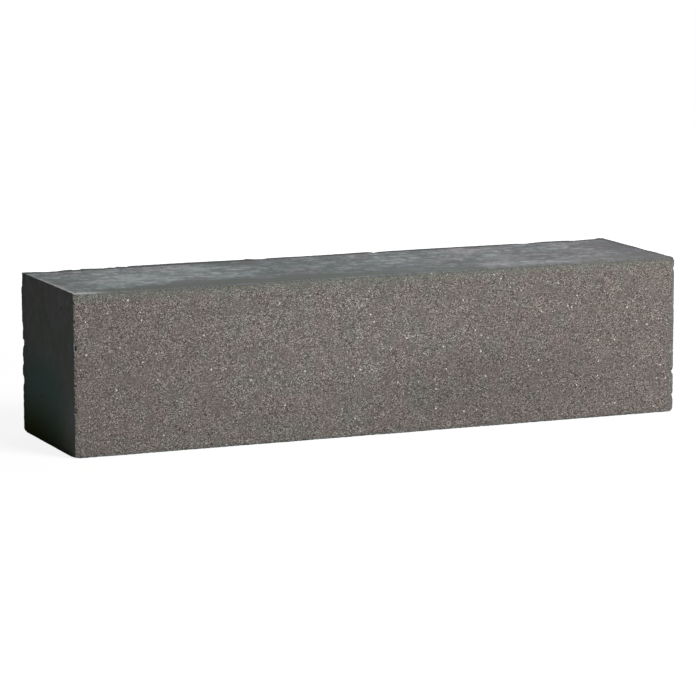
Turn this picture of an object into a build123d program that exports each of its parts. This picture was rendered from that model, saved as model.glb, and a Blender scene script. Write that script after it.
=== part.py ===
"""Solid concrete walling block, pressed in one piece and stored lying on its bed face.

The block is pressed lying on its back: the mould box forms the two beds and the two ends, the pallet under the box
forms the back, and the press head strikes the front face. Millimetres, +Z up, +X along the block, the struck front
face towards -Y, and the origin at the middle of the lower bed.
"""

import os

from build123d import *

# Driving dimensions
LENGTH = 600.0  # from end to end
DEPTH = 150.0  # from the struck front face to the pallet face at the back
HEIGHT = 150.0  # from bed to bed, the height of one course

# Edges
MOULD_CORNER_RADIUS = 2.0  # the mould box's inside corners, on the four edges that run from front to back
STRUCK_ARRIS_RADIUS = 1.2  # where the press head leaves the front face soft all round
PALLET_ARRIS_CHAMFER = 0.6  # where the feathered edge on the pallet has broken away

PARTS_FOLDER = "parts"


def mould_outline():
    """The opening of the mould box as seen from the front, standing on the bed."""
    return Pos(0, HEIGHT / 2) * RectangleRounded(LENGTH, HEIGHT, MOULD_CORNER_RADIUS)


def pressed_body():
    """The concrete that fills the mould box, from the pallet up to the press head."""
    pallet_plane = Plane.XZ.offset(-DEPTH / 2)
    return extrude(pallet_plane * mould_outline(), DEPTH)


def outer_face(body, towards):
    """The face that lies furthest along an axis."""
    return body.faces().sort_by(towards)[-1]


def concrete_block():
    """The finished block, with the arrises of the struck face rounded and those of the pallet face chamfered."""
    body = pressed_body()
    body = fillet(outer_face(body, -Axis.Y).edges(), STRUCK_ARRIS_RADIUS)
    return chamfer(outer_face(body, Axis.Y).edges(), PALLET_ARRIS_CHAMFER)


def main():
    os.makedirs(PARTS_FOLDER, exist_ok=True)
    nodes = {"concrete_block": concrete_block()}
    for name, solid in nodes.items():
        solid.label = name
        export_step(solid, os.path.join(PARTS_FOLDER, f"{name}.step"))


main()
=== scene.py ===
"""Looks of a pressed concrete walling block: its worn, sandy surface, and a studio stage for it."""

import math
import random

import bmesh
import bpy
from bpy.props import FloatProperty, FloatVectorProperty, IntProperty, PointerProperty
from mathutils import Euler, Matrix, Vector, noise
from mathutils.kdtree import KDTree


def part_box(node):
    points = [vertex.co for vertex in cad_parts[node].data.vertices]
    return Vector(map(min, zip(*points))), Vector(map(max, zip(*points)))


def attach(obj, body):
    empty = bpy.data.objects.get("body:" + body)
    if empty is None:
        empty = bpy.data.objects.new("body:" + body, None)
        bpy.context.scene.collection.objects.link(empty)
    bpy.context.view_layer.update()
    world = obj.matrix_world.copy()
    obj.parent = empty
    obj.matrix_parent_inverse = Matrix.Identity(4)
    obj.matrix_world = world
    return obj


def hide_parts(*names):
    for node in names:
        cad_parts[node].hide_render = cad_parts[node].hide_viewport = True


bl_info = {
    "name": "Pressed Concrete Block",
    "version": (1, 0, 0),
    "blender": (4, 5, 0),
    "location": "View3D > Sidebar > Block",
    "description": "Adds a pressed concrete walling block with worn edges, and a studio stage for it",
    "category": "Add Mesh",
}

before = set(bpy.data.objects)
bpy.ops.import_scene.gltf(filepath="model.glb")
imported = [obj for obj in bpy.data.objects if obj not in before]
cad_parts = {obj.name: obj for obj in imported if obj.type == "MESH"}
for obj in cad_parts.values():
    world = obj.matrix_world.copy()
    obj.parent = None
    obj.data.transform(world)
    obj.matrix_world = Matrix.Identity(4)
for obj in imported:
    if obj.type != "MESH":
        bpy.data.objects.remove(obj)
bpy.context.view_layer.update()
LOW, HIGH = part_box("concrete_block")
CENTRE = (LOW + HIGH) / 2
HALF = (HIGH - LOW) / 2

MILLIMETRES = 1000  # to the metre


def linear(colour):
    """The linear red, green and blue of an sRGB hex colour."""
    shares = [int(colour[place : place + 2], 16) / 255 for place in (1, 3, 5)]
    return [s / 12.92 if s <= 0.04045 else ((s + 0.055) / 1.055) ** 2.4 for s in shares]


def length_property(name, description, default):
    """A length in metres that a user may change."""
    return FloatProperty(
        name=name, description=description, default=default, min=0, unit="LENGTH", precision=5
    )


def angle_property(name, description, degrees):
    """An angle that a user may change, from its value in degrees."""
    return FloatProperty(
        name=name, description=description, default=math.radians(degrees), subtype="ANGLE"
    )


def colour_property(name, description, default):
    """A colour that a user may change, from its sRGB hex value."""
    return FloatVectorProperty(
        name=name, description=description, default=linear(default), min=0, max=1, subtype="COLOR"
    )


class BlockSizes(bpy.types.PropertyGroup):
    """Sizes of the block's mesh, edges and relief"""

    row_spacing: length_property("Row spacing", "Mesh rows of the faces, quartered along the edges", 0.0032)
    mould_corner_radius: length_property("Mould corner", "Round of the edges from front to back", 0.002)
    struck_arris_radius: length_property("Struck arris", "Round of the front face's edges", 0.0012)
    pallet_arris_radius: length_property("Pallet arris", "Round of the back's edges without flash", 0.0006)
    flash_height: length_property("Flash height", "How far the feathered back edge stands proud", 0.0011)
    flash_thickness: length_property("Flash thickness", "Foot of the feathered edge", 0.0017)
    chip_depth: length_property("Chip depth", "Deepest small chip along an edge", 0.0013)
    chip_length: length_property("Chip length", "Longest small chip along an edge", 0.011)
    chips: IntProperty(
        name="Chips", description="Small chips over the lower back and lower right edges", default=15, min=0
    )
    lean: length_property("Lean", "How far the block's top stands to the right of its foot", 0.0009)
    camber_depth: length_property("Camber depth", "How far the struck face falls back at its edges", 0.0003)
    camber_reach: length_property("Camber reach", "Width of the border that falls back", 0.009)
    pit_radius: length_property("Pit radius", "Largest air hole in a face", 0.0027)
    pit_depth: length_property("Pit depth", "Deepest air hole in a face", 0.0012)
    seed: IntProperty(name="Seed", description="Picks the places of chips and air holes", default=11)


class ConcreteColours(bpy.types.PropertyGroup):
    """Colours of the concrete"""

    sand_dark: colour_property("Dark sand", "Gaps between grains", "#343130")
    sand_deep: colour_property("Deep sand", "Dyed cement round the grains", "#5D5956")
    sand: colour_property("Sand", "Most of the grains of the struck face", "#7A7672")
    sand_pale: colour_property("Pale sand", "Washed grains", "#98938E")
    quartz: colour_property("Quartz", "The few bright grains", "#F0ECE4")
    paste: colour_property("Paste", "Smears of cement paste over the sand", "#74706C")
    wash: colour_property("Wash", "Thin cement wash along the struck face's edges", "#7A7B74")
    red_cloud: colour_property("Red cloud", "Soft light over iron-stained sand", "#C3BAB9")
    green_cloud: colour_property("Green cloud", "Soft light over cooler sand", "#B8BFBB")
    # Painted sheen: these skin colours, the clean strip and the dust are the cement's own colour with the
    # upper bed's grazing gloss added, as the material is matt
    skin_dark_with_sheen: colour_property("Dark skin", "Cement skin that came away clean", "#717373")
    skin: colour_property("Skin", "Cement skin from the mould wall", "#838586")
    skin_pale_with_sheen: colour_property("Pale skin", "Cement milk dried on the skin", "#9FA1A3")
    end_skin: colour_property("End skin", "Even skin of the ends", "#787976")
    green_veil: colour_property("Green veil", "Soft light over the skin, mostly at the left", "#B7BEBC")
    red_veil: colour_property("Red veil", "Soft light over the skin, mostly at the right", "#C1B9BE")
    strip: colour_property("Clean strip", "Skin beside the struck face, wiped by the press head", "#6D706C")
    dust: colour_property("Dust", "Sand dust on the upper bed", "#757470")
    # Partly painted highlight: the pale rub on the upper bed's left and front edges is wear and also stands
    # in for light on those edges
    rubbed_and_highlight: colour_property("Rubbed edge", "Edges that handling has rubbed pale", "#D0D0CD")
    # Painted shade: dark lines along the upper bed's back, right and front edges and along the right front
    # edge
    grime: colour_property("Grime", "Broken edges that hold dirt", "#5A5C5C")
    # The left end's dark foot below this film is painted shade.
    algae: colour_property("Algae", "Green film above the damp foot of the left end", "#617A75")
    # Painted shade: darker towards the lower back of the left end
    damp: colour_property("Damp", "Dark foot of the left end, from damp ground", "#4C5532")


class StageSettings(bpy.types.PropertyGroup):
    """Camera, lamps and floor"""

    lens: FloatProperty(
        name="Lens", description="Focal length on a 36 mm sensor", default=185.8, unit="CAMERA"
    )
    camera_place: FloatVectorProperty(
        name="Camera",
        description="Place of the camera",
        default=(-1.2530, -3.1088, 0.5929),
        subtype="TRANSLATION",
    )
    camera_yaw: angle_property("Yaw", "Turn to the right of straight ahead", 21.868)
    camera_pitch: angle_property("Pitch", "Look down from level", 8.855)
    camera_roll: angle_property("Roll", "Tip of the camera to its right", 0.486)
    key_power: FloatProperty(name="Key", description="Lamp at the front right", default=55.0, unit="POWER")
    back_power: FloatProperty(name="Back", description="Lamp behind the block", default=35.0, unit="POWER")
    sky: FloatProperty(name="Sky", description="Even light from all round", default=0.06, min=0)
    floor: colour_property("Floor", "Pale studio floor", "#F4F4F2")


def smooth_step(value, start, end):
    """0 up to the start, 1 from the end on, and a soft rise between them."""
    share = min(1, max(0, (value - start) / (end - start)))
    return share * share * (3 - 2 * share)


def part_way(first, second, share):
    """The value that lies this share of the way from the first to the second."""
    return first + (second - first) * share


def between_stations(stations, along):
    """The values at a distance along an edge, from a table of (distance, values)."""
    for first, second in zip(stations, stations[1:]):
        if along <= second[0]:
            break
    way = min(1, max(0, (along - first[0]) / (second[0] - first[0])))
    return [part_way(low, high, way) for low, high in zip(first[1:], second[1:])]


def sides_of(place):
    """The end, face and bed that a place is nearest to, each as -1 or 1."""
    return [1 if place[axis] > CENTRE[axis] else -1 for axis in range(3)]


def gaps_of(place):
    """How far a place on the sharp block lies from its nearest end, face and bed."""
    return [HALF[axis] - abs(place[axis] - CENTRE[axis]) for axis in range(3)]


def edge_gap(place):
    """How far a point of the sharp block's surface lies from the nearest edge."""
    return sorted(gaps_of(place))[1]


# Wear of the edges from front to back, as shares of the mould corner's radius at the front and at the back,
# by end and bed
MOULD_WEAR_SHARES = {(-1, -1): (0.4, 0.3), (-1, 1): (0.2, 0.2), (1, -1): (2.4, 1.6), (1, 1): (2.8, 0.2)}
# Wear of the front face's edges, as shares of the struck arris's radius: along an end by side, at the foot
# and at the top
END_WEAR_SHARES = {-1: (0.7, 1.5), 1: (1.3, 0.3)}
# and along a bed by side
BED_WEAR_SHARES = {-1: 1.8, 1: 2.0}
# How strongly the edges crumble: those from front to back, along an end by side, and along a bed
MOULD_CRUMB_SHARE = 0.3
END_CRUMB_SHARES = {-1: 1.8, 1: 1.1}
BED_CRUMB_SHARE = 1.1
LONG_WEAR_SHARE = 0.6  # how strongly an edge's wear waves
LEAST_WEAR_SHARE = 0.35
LONG_WEAR = 0.034  # length of those waves
CRUMB = 0.0024  # size of the crumbs along an edge


def edge_wear_share(place, crumb_share):
    """How worn an edge is at a place, beside its plain radius."""
    long_wave = noise.noise(place / LONG_WEAR)
    crumbs = noise.noise(place / CRUMB)
    return max(LEAST_WEAR_SHARE, 1 + LONG_WEAR_SHARE * long_wave + crumb_share * crumbs)


def rounded(first, second, radius):
    """Moves a point at a sharp edge onto its round. Both lengths run inwards from the edge's two faces."""
    out = Vector((radius - first, radius - second))
    out *= max(out) / out.length
    return out


# Outline of the flash, as shares of its height: on the upper bed by distance from the left end
BED_FLASH_STATIONS = (
    (0.0, 1.0),
    (0.012, 0.75),
    (0.020, 0.3),
    (0.031, 0.3),
    (0.040, 1.0),
    (0.045, 1.0),
    (0.048, 0.55),
    (0.0545, 0.6),
    (0.056, 1.2),
    (0.077, 0.4),
    (0.084, 0.85),
    (0.088, 0.45),
    (0.091, 1.1),
    (0.100, 0.5),
    (0.103, 1.1),
    (0.160, 1.1),
    (0.217, 0.7),
    (0.220, 1.3),
    (0.229, 0.45),
    (0.237, 0.25),
    (0.243, 0.75),
    (0.276, 0.5),
    (0.345, 0.85),
    (0.351, 0.0),
    (0.358, 0.55),
    (0.400, 0.7),
    (0.500, 0.4),
    (0.511, 0.0),
    (0.530, 0.7),
    (0.552, 0.6),
    (0.564, 0.05),
    (0.588, 0.4),
    (0.591, 1.15),
    (0.600, 0.4),
)
# and on the left end by height, on the right end the other way up
END_FLASH_STATIONS = (
    (0.0, 0.6),
    (0.004, 2.2),
    (0.044, 2.3),
    (0.047, 1.6),
    (0.053, 1.7),
    (0.055, 2.6),
    (0.062, 2.6),
    (0.066, 1.9),
    (0.075, 2.4),
    (0.080, 2.1),
    (0.083, 1.1),
    (0.087, 1.1),
    (0.089, 2.2),
    (0.101, 1.9),
    (0.106, 2.5),
    (0.130, 2.6),
    (0.135, 2.9),
    (0.139, 2.1),
    (0.150, 1.9),
)
FLASH_TOOTH = 0.004  # size of the teeth along the flash
FLASH_TOOTH_SHARE = 0.1  # how far they stand out, beside the flash there
FLASH_FADES = (0.004, 0.012)  # the right end's flash rises over these distances from its corners
FLASH_ROOT = 0.0006  # the flash is drawn out of what lies this near to the sides
FLASH_SLOPE = 1.5  # power of its rise from its foot to its lip
SHARP_FLASH_SHARE = 0.3  # from this share of flash on, the edge has no round


def flash_shares(place, direction):
    """How far the flash stands out at a place on the back edge, along and up. The lower bed has none."""
    if direction.x < 0:
        end_share = between_stations(END_FLASH_STATIONS, place.z - LOW.z)[0]
    else:
        end_share = between_stations(END_FLASH_STATIONS, HIGH.z - place.z)[0]
        end_share *= smooth_step(gaps_of(place)[2], *FLASH_FADES)
    bed_share = between_stations(BED_FLASH_STATIONS, place.x - LOW.x)[0]
    out = direction / max(abs(direction.x), abs(direction.y))
    tooth = 1 + FLASH_TOOTH_SHARE * noise.noise(Vector((place.x, 0, place.z)) / FLASH_TOOTH)
    return Vector((out.x * end_share, max(0, out.y) * bed_share)) * tooth


# The strip of a bed that the press head wiped clean, as (distance from the left end, how clean, width)
STRIP_STATIONS = (
    (0.0, 0.0, 0.010),
    (0.035, 0.85, 0.016),
    (0.1, 1.0, 0.020),
    (0.18, 1.0, 0.027),
    (0.3, 0.6, 0.025),
    (0.4, 0.5, 0.022),
    (0.44, 0.0, 0.016),
    (0.6, 0.0, 0.010),
)
STRIP_SOFTNESS = 0.006  # of its inner edge
STRIP_WAVE = 0.03  # length of the waves in that edge
STRIP_WAVER = 0.008  # how far they reach


def strip_share(place, from_front):
    """How clean a bed is wiped at a place."""
    clean, width = between_stations(STRIP_STATIONS, place.x - LOW.x)
    width += STRIP_WAVER * noise.noise(place / STRIP_WAVE)
    return clean * (1 - smooth_step(from_front, width - STRIP_SOFTNESS, width + STRIP_SOFTNESS))


# Soft oval patches of the upper bed, as (place along and across, half sizes, share): cement milk
MILK_PATCHES = (
    ((-0.185, 0.028), (0.100, 0.060), 0.085),
    ((-0.225, -0.020), (0.060, 0.045), 0.05),
    ((0.165, -0.060), (0.085, 0.035), 0.09),
    ((0.110, 0.025), (0.120, 0.050), 0.03),
    ((-0.130, -0.070), (0.150, 0.050), -0.13),
    ((0.020, -0.035), (0.170, 0.045), -0.055),
    ((-0.060, 0.060), (0.070, 0.060), -0.07),
    ((-0.300, -0.030), (0.050, 0.060), -0.08),
    ((-0.040, -0.005), (0.035, 0.045), -0.05),
    ((0.300, 0.000), (0.060, 0.130), -0.10),
)
# and sand dust
DUST_PATCHES = (
    ((0.27, -0.07), (0.11, 0.050), 0.45),
    ((0.05, -0.085), (0.3, 0.03), 0.3),
)
# Patches where the struck face is paler or darker, by place along and up
TONE_PATCHES = (
    ((0.11, 0.04), (0.17, 0.055), -0.045),
    ((-0.06, 0.09), (0.2, 0.08), 0.025),
)
PATCH_CORE_SHARE = 0.3  # of a patch's half size, where it is even


def patch_share(patches, along, across):
    """What the patches add up to at a place on their face."""
    total = 0
    for middle, half_sizes, share in patches:
        distance = math.hypot((along - middle[0]) / half_sizes[0], (across - middle[1]) / half_sizes[1])
        total += share * (1 - smooth_step(distance, PATCH_CORE_SHARE, 1))
    return total


# Width of the thin skin that laps onto the struck face, along an end by side and along a bed by side
END_LAPS = {-1: 0.0002, 1: 0.0018}
BED_LAPS = {-1: 0.0010, 1: 0.0011}
# and of the thinner wash beyond it
END_WASHES = {-1: 0.002, 1: 0.008}
BED_WASHES = {-1: 0.003, 1: 0.014}
LAP_FADE_SHARES = (0.4, 2.2)  # of the lap's width, between which it fades out
LAP_STRIP_SHARE = 0.35  # of the clean strip's colour in the lap
BACK_SKIN_SHARE = 0.62  # of the skin's cover on the back
END_CALM_SHARE = 0.75  # how even the skin of the ends is
BACK_CALM_SHARE = 0.4  # and that of the back
FOOT_SHADE_HEIGHT = 0.05  # of the painted shade at the foot of the left end
FOOT_SHADE_DEPTH = 0.24  # how far it reaches from the back
ALGAE_PLACE = (0.05, 0.04)  # middle of the film above it, by depth and height
ALGAE_HALF_SIZES = (0.10, 0.055)
ALGAE_CORE_SHARE = 0.4  # of those half sizes, where the film is even


def struck_shares(place, end, bed, end_gap, bed_gap):
    """What covers the struck face: a lap of skin along its edges, a wash beyond it, and soft patches."""
    lap = END_LAPS[end] if end_gap < bed_gap else BED_LAPS[bed]
    fade_start, fade_end = [share * lap for share in LAP_FADE_SHARES]
    end_wash = 1 - smooth_step(end_gap, 0, END_WASHES[end])
    bed_wash = 1 - smooth_step(bed_gap, 0, BED_WASHES[bed])
    return {
        "skin": 1 - smooth_step(min(end_gap, bed_gap), fade_start, fade_end),
        "strip": LAP_STRIP_SHARE,
        "wash": max(end_wash, bed_wash),
        "milk": patch_share(TONE_PATCHES, place.x, place.z),
    }


def bed_shares(place, face, bed, face_gap):
    """What covers a bed: skin, the clean strip, and on the upper bed more or less milk, and dust."""
    shares = {"skin": 1}
    if face < 0:
        shares["strip"] = strip_share(place, face_gap)
    if bed > 0:
        shares["milk"] = patch_share(MILK_PATCHES, place.x, place.y)
        shares["dust"] = patch_share(DUST_PATCHES, place.x, place.y)
    return shares


def end_shares(place, end):
    """What covers an end: even skin, and on the left end painted shade at its foot and the film above it.
    """
    shares = {"skin": 1, "calm": END_CALM_SHARE}
    if end < 0:
        from_back = HIGH.y - place.y
        height = place.z - LOW.z
        reach = math.hypot(height / FOOT_SHADE_HEIGHT, from_back / FOOT_SHADE_DEPTH)
        shares["damp"] = 1 - smooth_step(reach, 0, 1)
        deep = (from_back - ALGAE_PLACE[0]) / ALGAE_HALF_SIZES[0]
        high = (height - ALGAE_PLACE[1]) / ALGAE_HALF_SIZES[1]
        shares["algae"] = 1 - smooth_step(math.hypot(deep, high), ALGAE_CORE_SHARE, 1)
    return shares


RUB_HIGHLIGHT_WIDTH = 0.0045  # of the pale rub and painted highlight along the upper bed's left edge
BACK_RUB_HIGHLIGHT_SHARE = 0.2  # how strong it still is at the back
FRONT_RUB_HIGHLIGHT_WIDTH = 0.009  # of the rub and painted highlight along the front edge
FRONT_RUB_HIGHLIGHT_REACH = 0.035  # how far that runs from the upper left corner
BACK_SHADE_WIDTH = 0.006  # of the painted shade line along the upper bed's back edge
RIGHT_SHADE_WIDTH = 0.011  # along its right edge
FRONT_SHADE_WIDTH = 0.0038  # and along its front edge
FRONT_SHADE_SHARE = 0.5  # how strong it is there
FRONT_SHADE_REACHES = (0.0175, 0.0525)  # it sets in over these distances from the left end
END_SHADE_WIDTH = 0.0026  # of the painted shade line along the right front edge
SHARP_EDGE = 0.002  # the pale rub with its painted highlight, and the painted edge shade, are at their full strength this near to an edge of the upper bed
TOUCH = 0.00001  # a place this near to a face lies on it


def paint(vert, layers):
    """Marks what covers the concrete at a vertex of the sharp block."""
    place = vert.co
    end, face, bed = sides_of(place)
    end_gap, face_gap, bed_gap = gaps_of(place)
    if face_gap < TOUCH and face < 0:
        shares = struck_shares(place, end, bed, end_gap, bed_gap)
    elif face_gap < TOUCH:
        shares = {"skin": BACK_SKIN_SHARE, "calm": BACK_CALM_SHARE}
    elif bed_gap < TOUCH:
        shares = bed_shares(place, face, bed, face_gap)
    else:
        shares = end_shares(place, end)

    # The upper bed's left edge is rubbed pale, with a painted highlight, most of all at the front. Its
    # other edges, and the right front edge, get painted shade.
    from_left, from_front, _ = place - LOW
    from_right, from_back, _ = HIGH - place
    if bed > 0 and bed_gap < TOUCH:
        left_rub_and_highlight = 1 - smooth_step(from_left, SHARP_EDGE, RUB_HIGHLIGHT_WIDTH)
        left_rub_and_highlight *= part_way(1, BACK_RUB_HIGHLIGHT_SHARE, from_front / (2 * HALF.y))
        front_rub_and_highlight = 1 - smooth_step(from_front, SHARP_EDGE, FRONT_RUB_HIGHLIGHT_WIDTH)
        front_rub_and_highlight *= 1 - min(1, from_left / FRONT_RUB_HIGHLIGHT_REACH)
        shares["rub"] = max(left_rub_and_highlight, front_rub_and_highlight)
    grime = 1 - smooth_step(from_right + from_front, 0, END_SHADE_WIDTH)
    if bed > 0:
        back_edge_shade = 1 - smooth_step(from_back + bed_gap, SHARP_EDGE, BACK_SHADE_WIDTH)
        right_edge_shade = 1 - smooth_step(from_right + bed_gap, SHARP_EDGE, RIGHT_SHADE_WIDTH)
        front_edge_shade = 1 - smooth_step(from_front + bed_gap, SHARP_EDGE, FRONT_SHADE_WIDTH)
        front_edge_shade *= FRONT_SHADE_SHARE * smooth_step(from_left, *FRONT_SHADE_REACHES)
        grime = max(grime, back_edge_shade, right_edge_shade, front_edge_shade)
    shares["grime"] = grime
    for name, share in shares.items():
        vert[layers[name]] = share


def press_edges(vert, sizes):
    """Rounds the edges at a vertex as the mould, the press and wear leave them, and raises the flash."""
    place = vert.co - CENTRE
    end, face, bed = sides_of(vert.co)
    end_gap, face_gap, bed_gap = gaps_of(vert.co)

    # The outline of the mould box, seen from the front
    backward = (vert.co.y - LOW.y) / (2 * HALF.y)
    corner_radius = sizes.mould_corner_radius * part_way(*MOULD_WEAR_SHARES[(end, bed)], backward)
    corner_radius *= edge_wear_share(vert.co, MOULD_CRUMB_SHARE)
    if end_gap < corner_radius and bed_gap < corner_radius:
        out = rounded(end_gap, bed_gap, corner_radius)
        depth = corner_radius - out.length
        direction = Vector((out.x * end, out.y * bed)).normalized()
        place.x = end * (HALF.x - corner_radius + out.x)
        place.z = bed * (HALF.z - corner_radius + out.y)
    elif end_gap < bed_gap:
        depth = end_gap
        direction = Vector((end, 0))
    else:
        depth = bed_gap
        direction = Vector((0, bed))

    # The arris round the front and the back, and the flash that the back keeps
    lift = Vector((0, 0))
    wear = edge_wear_share(vert.co, END_CRUMB_SHARES[end] if end_gap < bed_gap else BED_CRUMB_SHARE)
    if face < 0:
        end_share = part_way(*END_WEAR_SHARES[end], (vert.co.z - LOW.z) / (2 * HALF.z))
        share = direction.x**2 * end_share + direction.y**2 * BED_WEAR_SHARES[bed]
        arris_radius = sizes.struck_arris_radius * share * wear
    else:
        arris_radius = sizes.pallet_arris_radius * wear
        if face_gap < sizes.flash_thickness and depth < FLASH_ROOT:
            flash = flash_shares(vert.co, direction)
            arris_radius *= 1 - smooth_step(flash.length, 0, SHARP_FLASH_SHARE)
            lift = sizes.flash_height * flash * (1 - face_gap / sizes.flash_thickness) ** FLASH_SLOPE
    if depth < arris_radius and face_gap < arris_radius:
        out = rounded(depth, face_gap, arris_radius)
        lift -= direction * (arris_radius - out.x - depth)
        place.y = face * (HALF.y - arris_radius + out.y)
    place.x += lift.x
    place.z += lift.y

    # The struck face falls back a little towards its edges
    if face < 0 and face_gap < sizes.camber_reach:
        slopes = [max(0, 1 - gap / sizes.camber_reach) ** 2 for gap in (end_gap, bed_gap)]
        place.y += sizes.camber_depth * min(1, sum(slopes)) * (1 - face_gap / sizes.camber_reach)
    vert.co = place + CENTRE


def refine(bm, faces, cuts):
    """Divides some faces, and leaves the mesh closed where they meet their neighbours."""
    edges = list(dict.fromkeys(edge for face in faces for edge in face.edges))
    bmesh.ops.subdivide_edges(
        bm, edges=edges, cuts=cuts, use_grid_fill=True, use_single_edge=True, quad_corner_type="INNER_VERT"
    )


def lay_rows(bm, spacing):
    """A sharp block in even rows, with rows a quarter as wide along its edges."""
    matrix = Matrix.Translation(CENTRE) @ Matrix.Diagonal((*(HALF * 2), 1))
    bmesh.ops.create_cube(bm, size=1, matrix=matrix)
    for axis in range(3):
        cuts = round(HALF[axis] * 2 / spacing) - 1
        edges = []
        for edge in bm.edges:
            first, second = edge.verts
            if abs(first.co[axis] - second.co[axis]) > spacing:
                edges.append(edge)
        bmesh.ops.subdivide_edges(bm, edges=edges, cuts=cuts, use_grid_fill=True)
    for reach in (2 * spacing, spacing):
        refine(bm, [face for face in bm.faces if edge_gap(face.calc_center_median()) < reach], 1)


def tree_of(places):
    """A search tree over places."""
    tree = KDTree(len(places))
    for number, place in enumerate(places):
        tree.insert(place, number)
    tree.balance()
    return tree


# Air holes to the square metre, by axis and side: back, left end, right end, lower bed and upper bed
PITS_PER_AREA = {(1, 1): 420, (0, -1): 300, (0, 1): 300, (2, -1): 260, (2, 1): 130}
PIT_MARGIN = 0.011  # no air hole opens nearer to an edge
SMALLEST_PIT_SHARE = 0.45  # of the largest air hole's radius
PIT_FLOOR_SHARE = 0.35  # of an air hole's radius, where it is deepest
PIT_RAGGED_SHARE = 0.45  # of its radius, by which its rim wanders
PIT_BORDER_SHARE = 0.6  # of a row, by which the fine mesh reaches past the rim
PIT_CUTS = 3  # through each face of that mesh


def choose_pits(chance, sizes):
    """Places and radii of the air holes, as (place, radius) pairs."""
    pits = []
    for (axis, side), density in PITS_PER_AREA.items():
        others = [other for other in range(3) if other != axis]
        area = 4 * HALF[others[0]] * HALF[others[1]]
        for _ in range(round(area * density)):
            place = CENTRE.copy()
            place[axis] += side * HALF[axis]
            for other in others:
                reach = HALF[other] - PIT_MARGIN
                place[other] += chance.uniform(-reach, reach)
            pits.append((place, sizes.pit_radius * chance.uniform(SMALLEST_PIT_SHARE, 1)))
    return pits


def refine_pits(bm, pits, spacing):
    """Divides the faces round each air hole."""
    tree = tree_of([place for place, radius in pits])
    chosen = []
    for face in bm.faces:
        middle = face.calc_center_median()
        _, number, gap = tree.find(middle)
        if gap < pits[number][1] + spacing * PIT_BORDER_SHARE and edge_gap(middle) > 2 * spacing:
            chosen.append(face)
    refine(bm, chosen, PIT_CUTS)


def sink_pits(bm, pits, layers, sizes):
    """Presses the air holes into the faces, each with a ragged rim."""
    verts = list(bm.verts)
    tree = tree_of([vert.co for vert in verts])
    for place, radius in pits:
        depth = sizes.pit_depth * radius / sizes.pit_radius
        for co, number, gap in tree.find_range(place, radius * (1 + PIT_RAGGED_SHARE)):
            vert = verts[number]
            ragged = radius * (1 + PIT_RAGGED_SHARE * noise.noise(co / CRUMB))
            share = 1 - smooth_step(gap, ragged * PIT_FLOOR_SHARE, ragged)
            vert.co -= vert.normal * depth * share
            vert[layers["skin"]] = min(vert[layers["skin"]], 1 - share)


# Chips of the front edges, as (place, depth, length): on the right edge by height
RIGHT_EDGE_CHIPS = ((0.039, 0.0022, 0.0065), (0.016, 0.0018, 0.005), (0.138, 0.0012, 0.006))
RIGHT_EDGE_OUT = Vector((1, -0.5, 0)).normalized()  # the way they face
# and on the lower edge by distance from the left end
FOOT_EDGE_CHIPS = ((0.018, 0.0011, 0.0045), (0.118, 0.0005, 0.004), (0.452, 0.0006, 0.005))
FOOT_EDGE_OUT = Vector((0, -1, -1)).normalized()
# Edges that take chips by chance, by the axis that they run along: end, face and bed
CHIPPED_EDGES = ((0, 1, -1), (1, 0, -1))
CHIP_REACH_SHARE = 0.97  # of an edge's half length, where chips may lie
CHIP_TILTS = (0.6, 1.4)  # how far a chip may lean to either face of its edge
CHIP_DRAWS = (0.25, 1)  # of its size, squared so that most are small
SHORTEST_CHIP_SHARE = 0.35  # of the longest chip
CHIP_RAGGED_SHARE = 0.3  # of a chip's depth, by which its floor is uneven
# Corners that are worn round, by end, face and bed, and how far the wear runs along each axis
CORNER_BREAKS = (
    ((-1, -1, -1), (0.010, 0.021, 0.0046)),
    ((1, -1, -1), (0.007, 0.006, 0.007)),
    ((1, -1, 1), (0.006, 0.006, 0.006)),
    ((-1, 1, -1), (0.002, 0.002, 0.002)),
    ((1, 1, -1), (0.004, 0.005, 0.004)),
    ((1, 1, 1), (0.002, 0.003, 0.002)),
)
CORNER_RAGGED_SHARE = 0.16  # how uneven that wear is


def choose_chips(chance, sizes):
    """The chips, as (place, direction of the edge, outward direction, depth, half length)."""
    chips = []
    for height, depth, length in RIGHT_EDGE_CHIPS:
        place = Vector((HIGH.x, LOW.y, LOW.z + height))
        chips.append((place, Vector((0, 0, 1)), RIGHT_EDGE_OUT, depth, length / 2))
    for distance, depth, length in FOOT_EDGE_CHIPS:
        place = Vector((LOW.x + distance, LOW.y, LOW.z))
        chips.append((place, Vector((1, 0, 0)), FOOT_EDGE_OUT, depth, length / 2))
    for _ in range(sizes.chips):
        axis = chance.choices(range(2), HALF[:2])[0]
        along = Vector([float(other == axis) for other in range(3)])
        outward = Vector(CHIPPED_EDGES[axis])
        place = CENTRE + outward * HALF
        place += along * HALF[axis] * chance.uniform(-CHIP_REACH_SHARE, CHIP_REACH_SHARE)
        tilt = Vector([0 if other == axis else chance.uniform(*CHIP_TILTS) for other in range(3)])
        size = chance.uniform(*CHIP_DRAWS) ** 2
        half_length = sizes.chip_length / 2 * part_way(SHORTEST_CHIP_SHARE, 1, size)
        chips.append((place, along, (outward * tilt).normalized(), sizes.chip_depth * size, half_length))
    return chips


def cut_back(vert, place, outward, depth, layers):
    """Moves a vertex back to a cut that lies this deep below a place, and bares the sand there."""
    excess = (vert.co - place).dot(outward) + depth
    if excess > 0:
        vert.co -= outward * excess
        vert[layers["skin"]] = 0


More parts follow.
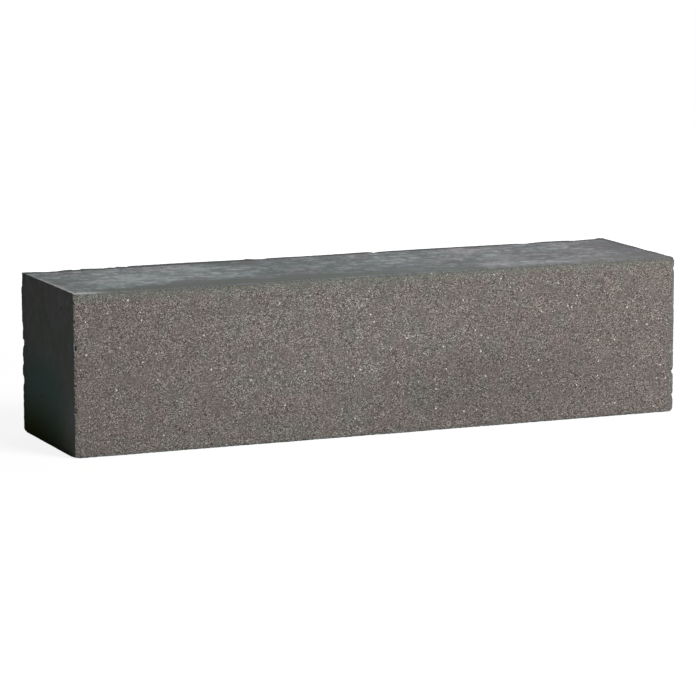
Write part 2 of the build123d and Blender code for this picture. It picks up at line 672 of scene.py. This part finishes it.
def break_edges(bm, chips, layers):
    """Breaks the chips out of the edges and wears the corners round."""
    verts = list(bm.verts)
    tree = tree_of([vert.co for vert in verts])
    for place, along, outward, depth, half_length in chips:
        for co, number, _ in tree.find_range(place, half_length + 2 * depth):
            reach = (co - place).dot(along) / half_length
            roughness = CHIP_RAGGED_SHARE * depth * noise.noise(co / CRUMB)
            cut_back(verts[number], place, outward, depth * (1 - reach * reach) + roughness, layers)
    for sides, reaches in CORNER_BREAKS:
        place = CENTRE + Vector(sides) * HALF
        slopes = Vector([side / reach for side, reach in zip(sides, reaches)])
        for co, number, _ in tree.find_range(place, max(reaches)):
            spread = ((co - place) * slopes).length_squared
            roughness = CORNER_RAGGED_SHARE * (1 - spread) * noise.noise(co / CRUMB)
            if spread < 1:
                depth = (1 + spread + roughness) / (2 * slopes.length)
                cut_back(verts[number], place, slopes.normalized(), depth, layers)


SWELL = 0.045  # length of the slow unevenness of the faces
SWELL_DEPTH = 0.00022
GRIT = 0.0017  # size of the grit that the fine rows along the edges can carry
GRIT_DEPTH = 0.00016
GRIT_MEAN_SHARE = 0.5  # of that depth, which the grit takes off on the whole
GRIT_FADES = (0.001, 0.004)  # it fades out over these distances from an edge
NOTCH_DEPTH = 0.003  # of the notches in the left front edge, at most about a third of it
NOTCH_START = 0.1  # crumbs weaker than this leave no notch
NOTCH_FADES = (0.001, 0.003)  # the notches fade out over these distances from that edge
NOTCHED_EDGE = Vector((-1, -1, 0)).normalized()  # the way that edge faces
UNDERSIDE = -0.5  # where normals point further down than this, the block lies flat


def roughen(bm):
    """Makes the faces slowly uneven, and gives the edges their grit and the left front edge its notches."""
    for vert in bm.verts:
        swell = SWELL_DEPTH * (0.5 + 0.5 * noise.noise(vert.co / SWELL))
        near_edge = 1 - smooth_step(edge_gap(vert.co), *GRIT_FADES)
        grit = GRIT_DEPTH * near_edge * (GRIT_MEAN_SHARE + noise.noise(vert.co / GRIT))
        near_left = 1 - smooth_step(max(vert.co.x - LOW.x, vert.co.y - LOW.y), *NOTCH_FADES)
        notch = NOTCH_DEPTH * near_left * max(0, noise.noise(vert.co / CRUMB) - NOTCH_START)
        if vert.normal.z > UNDERSIDE:
            vert.co -= vert.normal * (swell + grit) + NOTCHED_EDGE * notch


# What covers the concrete or tints it. Each vertex carries a share of each.
LAYERS = ("skin", "strip", "milk", "calm", "wash", "dust", "rub", "grime", "algae", "damp")


def block_mesh(sizes):
    """The block's mesh. Its vertices carry shares of the layers that cover the concrete there."""
    chance = random.Random(sizes.seed)
    pits = choose_pits(chance, sizes)
    chips = choose_chips(chance, sizes)
    bm = bmesh.new()
    lay_rows(bm, sizes.row_spacing)
    refine_pits(bm, pits, sizes.row_spacing)
    layers = {name: bm.verts.layers.float.new(f"{name}_share") for name in LAYERS}
    for vert in bm.verts:
        paint(vert, layers)
        press_edges(vert, sizes)
    bm.normal_update()
    sink_pits(bm, pits, layers, sizes)
    break_edges(bm, chips, layers)
    bm.normal_update()
    roughen(bm)
    lean = Matrix.Identity(4)
    lean[0][2] = sizes.lean / (2 * HALF.z)
    bmesh.ops.transform(bm, matrix=lean, verts=bm.verts)
    for face in bm.faces:
        face.smooth = True
    mesh = bpy.data.meshes.new("pressed_block")
    bm.to_mesh(mesh)
    bm.free()
    return mesh


def add_node(tree, kind, inputs=None, stops=None, **settings):
    """Adds a shader node. Inputs are values or sockets to link, and stops fill a colour ramp."""
    node = tree.nodes.new(f"ShaderNode{kind}")
    for name, value in settings.items():
        setattr(node, name, value)
    for name, value in (inputs or {}).items():
        if isinstance(value, bpy.types.NodeSocket):
            tree.links.new(value, node.inputs[name])
        else:
            node.inputs[name].default_value = value
    if stops:
        elements = node.color_ramp.elements
        while len(elements) < len(stops):
            elements.new(1)
        for element, (position, colour) in zip(elements, stops):
            element.position = position
            element.color = (*colour, 1)
    return node


# Sockets of a Mix node, by what it mixes: share, first, second and result
COLOUR_SHARE, COLOUR_FIRST, COLOUR_SECOND, COLOUR_RESULT = 0, 6, 7, 2
NUMBER_SHARE, NUMBER_FIRST, NUMBER_SECOND, NUMBER_RESULT = 0, 2, 3, 0

GRAIN_MM = 0.88  # real size of the struck face's sand, in millimetres
QUARTZ_MM = 3.6  # room that each bright grain could have
# Cloudy patterns of the concrete, as (real size in millimetres, detail, roughness)
PATTERNS = {
    "dust": (0.45, 2, 0.5),  # finest grit between the sand
    "paste": (15, 2, 0.5),  # smears of cement paste over the sand
    "cloud": (24, 3, 0.5),  # clouds of tint in the struck face
    "blotch": (15, 5, 0.62),  # blotches of dried cement milk on the skin
    "veil": (70, 2, 0.5),  # wide veils of it
    "streak": (4.5, 2, 0.5),  # small smears in it
    "splash": (11, 3, 0.5),  # pale splashes of it
    "pock": (7, 2, 0.5),  # dark places that it left open
    "hue": (38, 2, 0.5),  # patches of tint in the skin
    "speck": (1.6, 2, 0.5),  # sand that shows through the skin
    "border": (GRAIN_MM, 2, 0.5),  # ragged line between the grains where the skin ends
}

# The sand's base tone, and how far each grain's draw, the distance from its middle and the dust change it
SAND_TONE = 0.25
GRAIN_TONE_SHARE = 0.5
GROOVE_TONE_SHARE = -0.5
DUST_TONE_SHARE = 0.5
# How far each pattern changes the skin's tone
SKIN_TONE_SHARES = {"speck": 0.15, "streak": 0.3, "veil": 0.35, "blotch": 0.5}
WASH_SHARE = 0.35  # of the wash's colour where it is full
COOLEST_PLACE = -0.05  # along the block, where the sand is least red
RED_PER_METRE = 0.55  # how much redder it gets from there
WASH_RED_SHARE = -0.3  # how far the wash takes the red away
FLECK_RAGGED_SHARE = 0.35  # of the dust in a bright grain's outline
STRIP_STREAK_SHARE = 0.5  # of the small smears in the clean strip's edge
FILM_SHARE = 0.85  # of the algae's colour where their film is full
BORDER_SHARE = 0.6  # of the ragged line in the skin's cover
SAND_ROUGHNESS = 0.97
SKIN_ROUGHNESS = 0.86

# Heights of the relief, in metres
GRAIN_RELIEF = 0.00042
DUST_RELIEF = 0.0003
SPECK_RELIEF = 0.00012
BLOTCH_RELIEF = 0.0001


def per_metre(size_mm):
    """Scale of a pattern that repeats at this size."""
    return MILLIMETRES / size_mm


def struck_sand(tree, place, patterns, shares, colours):
    """Open sand in dyed cement: separate matt grains, a few of them bright. Returns colour and height."""
    grain = add_node(tree, "TexVoronoi", {"Vector": place, "Scale": per_metre(GRAIN_MM)})
    draw = add_node(tree, "SeparateColor", {"Color": grain.outputs["Color"]})
    tone = SAND_TONE
    for source, share in (
        (draw.outputs["Red"], GRAIN_TONE_SHARE),
        (grain.outputs["Distance"], GROOVE_TONE_SHARE),
        (patterns["dust"], DUST_TONE_SHARE),
        (shares["milk"], 1),
    ):
        tone = add_node(tree, "Math", {0: source, 1: share, 2: tone}, operation="MULTIPLY_ADD").outputs[0]
    ramp = add_node(
        tree, "ValToRGB", {"Fac": tone},
        stops=(
            (0.05, colours.sand_dark),
            (0.3, colours.sand_deep),
            (0.5, colours.sand),
            (0.72, colours.sand_pale),
            (1.0, colours.quartz),
        ),
    )

    # Smears of paste that dull the grains, and a thin wash of cement along the edges
    paste = add_node(
        tree, "MapRange", {"Value": patterns["paste"], "From Min": 0.48, "From Max": 0.7, "To Max": 0.6}
    )
    wash = add_node(tree, "Math", {0: shares["wash"], 1: WASH_SHARE}, operation="MULTIPLY")

    # Cool left of the middle and under the wash, and red towards the ends, in clouds
    axes = add_node(tree, "SeparateXYZ", {0: place})
    shifted = add_node(tree, "Math", {0: axes.outputs["X"], 1: COOLEST_PLACE}, operation="SUBTRACT")
    distance = add_node(tree, "Math", {0: shifted.outputs[0]}, operation="ABSOLUTE")
    red = patterns["cloud"]
    for source, share in ((distance.outputs[0], RED_PER_METRE), (shares["wash"], WASH_RED_SHARE)):
        red = add_node(tree, "Math", {0: source, 1: share, 2: red}, operation="MULTIPLY_ADD").outputs[0]
    tint = add_node(
        tree, "ValToRGB", {"Fac": red}, stops=((0.25, colours.green_cloud), (0.7, colours.red_cloud))
    )

    # Bright grains, each with a ragged outline and a shine of its own
    bright = add_node(tree, "TexVoronoi", {"Vector": place, "Scale": per_metre(QUARTZ_MM)})
    chance = add_node(tree, "TexWhiteNoise", {"Vector": bright.outputs["Color"]})
    shine = add_node(
        tree, "MapRange", {"Value": chance.outputs["Value"], "From Min": 0.93, "From Max": 0.98}
    )
    outline = add_node(
        tree, "Math", {0: patterns["dust"], 1: FLECK_RAGGED_SHARE, 2: bright.outputs["Distance"]},
        operation="MULTIPLY_ADD",
    )
    inside = add_node(tree, "MapRange", {"Value": outline.outputs[0], "From Min": 0.44, "From Max": 0.34})
    fleck = add_node(
        tree, "Math", {0: shine.outputs["Result"], 1: inside.outputs["Result"]}, operation="MULTIPLY"
    )

    # The covers, one over the other
    colour = ramp.outputs["Color"]
    for share, cover, blend in (
        (paste.outputs["Result"], (*colours.paste, 1), "MIX"),
        (wash.outputs[0], (*colours.wash, 1), "MIX"),
        (1, tint.outputs["Color"], "SOFT_LIGHT"),
        (fleck.outputs[0], (*colours.quartz, 1), "MIX"),
    ):
        colour = add_node(
            tree, "Mix", {COLOUR_SHARE: share, COLOUR_FIRST: colour, COLOUR_SECOND: cover},
            data_type="RGBA", blend_type=blend,
        ).outputs[COLOUR_RESULT]
    height = 0
    for source, relief in ((patterns["dust"], DUST_RELIEF), (grain.outputs["Distance"], -GRAIN_RELIEF)):
        height = add_node(
            tree, "Math", {0: source, 1: relief, 2: height}, operation="MULTIPLY_ADD"
        ).outputs[0]
    return colour, height


def mould_skin(tree, place, patterns, shares, colours):
    """Smooth cement skin from the mould wall, clouded with dried milk, in colours that carry a painted
    sheen. Returns colour and height.
    """
    spatter = add_node(
        tree, "MapRange", {"Value": patterns["splash"], "From Min": 0.53, "From Max": 0.66, "To Max": 0.11},
        interpolation_type="SMOOTHSTEP",
    )
    pocks = add_node(
        tree, "MapRange", {"Value": patterns["pock"], "From Min": 0.42, "From Max": 0.32, "To Max": -0.06},
        interpolation_type="SMOOTHSTEP",
    )
    wet = add_node(
        tree, "MapRange",
        {"Value": shares["milk"], "From Min": -0.13, "From Max": 0.09, "To Min": 0.25, "To Max": 1.5},
    )
    milk = add_node(
        tree, "Math",
        {0: spatter.outputs["Result"], 1: wet.outputs["Result"], 2: pocks.outputs["Result"]},
        operation="MULTIPLY_ADD",
    ).outputs[0]
    sources = [(patterns[name], share) for name, share in SKIN_TONE_SHARES.items()]
    for source, share in (*sources, (shares["milk"], 1)):
        milk = add_node(tree, "Math", {0: source, 1: share, 2: milk}, operation="MULTIPLY_ADD").outputs[0]
    ramp = add_node(
        tree, "ValToRGB", {"Fac": milk},
        stops=((0.56, colours.skin_dark_with_sheen), (0.67, colours.skin), (0.80, colours.skin_pale_with_sheen)),
    )

    # Greener at the left and redder towards the right end, in patches
    axes = add_node(tree, "SeparateXYZ", {0: place})
    rightward = add_node(
        tree, "MapRange",
        {"Value": axes.outputs["X"], "From Min": CENTRE.x, "From Max": HIGH.x, "To Max": 0.225},
    )
    red = add_node(tree, "Math", {0: patterns["hue"], 1: rightward.outputs["Result"]}, operation="ADD")
    tint = add_node(
        tree, "ValToRGB", {"Fac": red.outputs[0]},
        stops=((0.41, colours.green_veil), (0.81, colours.red_veil)),
    )

    # The strip that the press head wiped clean, with a streaky edge
    streaky = add_node(
        tree, "Math", {0: patterns["streak"], 1: STRIP_STREAK_SHARE, 2: shares["strip"]},
        operation="MULTIPLY_ADD",
    )
    clean = add_node(
        tree, "MapRange", {"Value": streaky.outputs[0], "From Min": 0.3, "From Max": 1.2, "To Max": 0.95},
        interpolation_type="SMOOTHSTEP",
    )

    # The covers, one over the other
    rub = add_node(tree, "Math", {0: shares["rub"], 1: patterns["streak"]}, operation="MULTIPLY")
    film = add_node(tree, "Math", {0: shares["algae"], 1: FILM_SHARE}, operation="MULTIPLY")
    colour = ramp.outputs["Color"]
    for share, cover, blend in (
        (shares["calm"], (*colours.end_skin, 1), "MIX"),
        (1, tint.outputs["Color"], "SOFT_LIGHT"),
        (shares["dust"], (*colours.dust, 1), "MIX"),
        (clean.outputs["Result"], (*colours.strip, 1), "MIX"),
        # the rub, partly wear and partly painted highlight
        (rub.outputs[0], (*colours.rubbed_and_highlight, 1), "MIX"),
        (film.outputs[0], (*colours.algae, 1), "MIX"),
        # painted shade at the left end's foot
        (shares["damp"], (*colours.damp, 1), "MIX"),
    ):
        colour = add_node(
            tree, "Mix", {COLOUR_SHARE: share, COLOUR_FIRST: colour, COLOUR_SECOND: cover},
            data_type="RGBA", blend_type=blend,
        ).outputs[COLOUR_RESULT]
    height = 0
    for source, relief in ((patterns["blotch"], BLOTCH_RELIEF), (patterns["speck"], SPECK_RELIEF)):
        height = add_node(
            tree, "Math", {0: source, 1: relief, 2: height}, operation="MULTIPLY_ADD"
        ).outputs[0]
    return colour, height


def pressed_concrete(colours):
    """Dry-pressed, dyed concrete. It is matt all over, with open sand where it was struck or has worn; the
    skin's colours carry a painted sheen in place of gloss.
    """
    material = bpy.data.materials.new("pressed_concrete")
    material.use_nodes = True
    tree = material.node_tree
    tree.nodes.clear()
    place = add_node(tree, "TexCoord").outputs["Object"]
    shares = {}
    for name in LAYERS:
        layer = add_node(tree, "Attribute", attribute_name=f"{name}_share")
        shares[name] = layer.outputs["Fac"]
    patterns = {}
    for name, (size_mm, detail, roughness) in PATTERNS.items():
        pattern = add_node(
            tree, "TexNoise",
            {"Vector": place, "Scale": per_metre(size_mm), "Detail": detail, "Roughness": roughness},
        )
        patterns[name] = pattern.outputs["Fac"]
    sand_colour, sand_height = struck_sand(tree, place, patterns, shares, colours)
    skin_colour, skin_height = mould_skin(tree, place, patterns, shares, colours)

    # The skin ends in a ragged line that follows the grains
    edge = add_node(
        tree, "Math", {0: patterns["border"], 1: BORDER_SHARE, 2: shares["skin"]}, operation="MULTIPLY_ADD"
    )
    skin = add_node(
        tree, "MapRange", {"Value": edge.outputs[0], "From Min": 0.7, "From Max": 0.95}
    ).outputs["Result"]
    colour = sand_colour
    # the painted shade along the edges goes over everything
    for share, cover in ((skin, skin_colour), (shares["grime"], (*colours.grime, 1))):
        colour = add_node(
            tree, "Mix", {COLOUR_SHARE: share, COLOUR_FIRST: colour, COLOUR_SECOND: cover}, data_type="RGBA"
        ).outputs[COLOUR_RESULT]
    roughness = add_node(
        tree, "MapRange", {"Value": skin, "To Min": SAND_ROUGHNESS, "To Max": SKIN_ROUGHNESS}
    )
    height = add_node(
        tree, "Mix", {NUMBER_SHARE: skin, NUMBER_FIRST: sand_height, NUMBER_SECOND: skin_height}
    )
    relief = add_node(tree, "Bump", {"Height": height.outputs[NUMBER_RESULT], "Distance": 1.0})
    shader = add_node(
        tree, "BsdfPrincipled",
        {
            "Base Color": colour,
            "Roughness": roughness.outputs["Result"],
            "Normal": relief.outputs["Normal"],
            "IOR": 1.5,
            # no gloss: the skin's sheen is painted into its colours
            "Specular IOR Level": 0.0,
        },
    )
    add_node(tree, "OutputMaterial", {"Surface": shader.outputs[0]})
    return material


class OBJECT_OT_concrete_block(bpy.types.Operator):
    """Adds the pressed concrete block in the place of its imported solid"""

    bl_idname = "object.concrete_block"
    bl_label = "Concrete Block"

    def execute(self, context):
        scene = context.scene
        mesh = block_mesh(scene.block_sizes)
        mesh.materials.append(pressed_concrete(scene.concrete_colours))
        block = bpy.data.objects.new("pressed_block", mesh)
        scene.collection.objects.link(block)
        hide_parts("concrete_block")
        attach(block, "root")
        return {"FINISHED"}


FLOOR_RADIUS = 14.0
FLOOR_SEGMENTS = 96  # of its rim
FLOOR_DROP = 0.0001  # keeps the floor clear of the bed that lies on it
SHADOW_RADIUS = 0.55  # the floor shows the block's shadow this far out
WHITE_RADIUS = 1.2  # from here out the floor is even white
FLOOR_GLOW = 0.88  # of the floor near the block
FLOOR_SHADOW_SHARE = 0.18  # of the floor's colour that shadows can take away
FLOOR_BOUNCE_SHARE = 0.45  # of the floor's colour in the light that it returns
WHITE = (1, 1, 1, 1)
SENSOR_WIDTH = 36.0  # of the camera, in millimetres


def plain_rays(tree):
    """1 for the rays that see the stage itself: from the camera, in gloss and through glass."""
    path = add_node(tree, "LightPath")
    seen = path.outputs["Is Camera Ray"]
    for name in ("Is Glossy Ray", "Is Transmission Ray"):
        seen = add_node(tree, "Math", {0: seen, 1: path.outputs[name]}, operation="MAXIMUM").outputs[0]
    return seen


def studio_paper(colour):
    """White paper sweep. It is seen white, with a shadow near the block, and returns little light."""
    material = bpy.data.materials.new("studio_paper")
    material.use_nodes = True
    tree = material.node_tree
    tree.nodes.clear()
    place = add_node(tree, "TexCoord").outputs["Object"]
    distance = add_node(tree, "VectorMath", {0: place}, operation="LENGTH")
    glow = add_node(
        tree, "MapRange",
        {
            "Value": distance.outputs["Value"],
            "From Min": SHADOW_RADIUS,
            "From Max": WHITE_RADIUS,
            "To Min": FLOOR_GLOW,
            "To Max": 1.0,
        },
        interpolation_type="SMOOTHSTEP",
    )
    emission = add_node(tree, "Emission", {"Color": WHITE, "Strength": glow.outputs["Result"]})
    papers = []
    for share in (FLOOR_SHADOW_SHARE, FLOOR_BOUNCE_SHARE):
        papers.append(add_node(tree, "BsdfDiffuse", {"Color": [share * value for value in colour] + [1]}))
    shadowed, bounce = papers
    seen = add_node(tree, "AddShader", {0: shadowed.outputs[0], 1: emission.outputs[0]})
    mix = add_node(tree, "MixShader", {0: plain_rays(tree), 1: bounce.outputs[0], 2: seen.outputs[0]})
    add_node(tree, "OutputMaterial", {"Surface": mix.outputs[0]})
    return material


def studio_sky(strength):
    """Even light from all round, seen as white."""
    world = bpy.data.worlds.new("studio_sky")
    world.use_nodes = True
    tree = world.node_tree
    tree.nodes.clear()
    level = add_node(tree, "MapRange", {"Value": plain_rays(tree), "To Min": strength, "To Max": 1.0})
    background = add_node(tree, "Background", {"Color": WHITE, "Strength": level.outputs["Result"]})
    add_node(tree, "OutputWorld", {"Surface": background.outputs[0]})
    return world


# Soft boxes turned to the middle of the block, as (place, width, height)
LAMPS = {
    "key": ((0.67, -1.54, 1.56), 0.9, 0.9),
    "back": ((0.9, 2.2, 0.6), 1.2, 0.6),
}


class OBJECT_OT_studio_stage(bpy.types.Operator):
    """Adds the pale floor, the lamps, the sky and the camera"""

    bl_idname = "object.studio_stage"
    bl_label = "Studio Stage"

    def execute(self, context):
        scene = context.scene
        stage = scene.stage_settings
        self.add_floor(scene, stage)
        self.add_lamps(scene, {"key": stage.key_power, "back": stage.back_power})
        self.add_camera(scene, stage)
        scene.world = studio_sky(stage.sky)
        scene.view_settings.view_transform = "Standard"
        return {"FINISHED"}

    def add_floor(self, scene, stage):
        bm = bmesh.new()
        bmesh.ops.create_circle(
            bm, cap_ends=True, radius=FLOOR_RADIUS, segments=FLOOR_SEGMENTS,
            matrix=Matrix.Translation((0, 0, LOW.z - FLOOR_DROP)),
        )
        mesh = bpy.data.meshes.new("studio_floor")
        bm.to_mesh(mesh)
        bm.free()
        mesh.materials.append(studio_paper(stage.floor))
        floor = bpy.data.objects.new("studio_floor", mesh)
        scene.collection.objects.link(floor)

    def add_lamps(self, scene, powers):
        for name, (place, width, height) in LAMPS.items():
            light = bpy.data.lights.new(name, "AREA")
            light.shape = "RECTANGLE"
            light.size = width
            light.size_y = height
            light.energy = powers[name]
            lamp = bpy.data.objects.new(name, light)
            lamp.location = place
            lamp.rotation_euler = (CENTRE - lamp.location).to_track_quat("-Z", "Y").to_euler()
            lamp.visible_camera = False
            scene.collection.objects.link(lamp)

    def add_camera(self, scene, stage):
        data = bpy.data.cameras.new("camera")
        data.lens = stage.lens
        data.sensor_width = SENSOR_WIDTH
        camera = bpy.data.objects.new("camera", data)
        camera.location = stage.camera_place
        turn = Euler((math.pi / 2 - stage.camera_pitch, 0, -stage.camera_yaw)).to_matrix()
        roll = Matrix.Rotation(-stage.camera_roll, 3, "Z")
        camera.rotation_euler = (turn @ roll).to_euler()
        scene.collection.objects.link(camera)
        scene.camera = camera


class VIEW3D_PT_concrete_block(bpy.types.Panel):
    """Lists the block and its stage"""

    bl_label = "Concrete Block"
    bl_space_type = "VIEW_3D"
    bl_region_type = "UI"
    bl_category = "Block"

    def draw(self, context):
        scene = context.scene
        for operator, settings in (
            (OBJECT_OT_concrete_block, (scene.block_sizes, scene.concrete_colours)),
            (OBJECT_OT_studio_stage, (scene.stage_settings,)),
        ):
            box = self.layout.box()
            box.operator(operator.bl_idname)
            for group in settings:
                for name in group.__annotations__:
                    box.prop(group, name)


CLASSES = (
    BlockSizes,
    ConcreteColours,
    StageSettings,
    OBJECT_OT_concrete_block,
    OBJECT_OT_studio_stage,
    VIEW3D_PT_concrete_block,
)


def register():
    for cls in CLASSES:
        bpy.utils.register_class(cls)
    bpy.types.Scene.block_sizes = PointerProperty(type=BlockSizes)
    bpy.types.Scene.concrete_colours = PointerProperty(type=ConcreteColours)
    bpy.types.Scene.stage_settings = PointerProperty(type=StageSettings)


def unregister():
    del bpy.types.Scene.stage_settings
    del bpy.types.Scene.concrete_colours
    del bpy.types.Scene.block_sizes
    for cls in reversed(CLASSES):
        bpy.utils.unregister_class(cls)


def main():
    register()
    bpy.ops.object.concrete_block()
    bpy.ops.object.studio_stage()


if __name__ == "__main__":
    main()
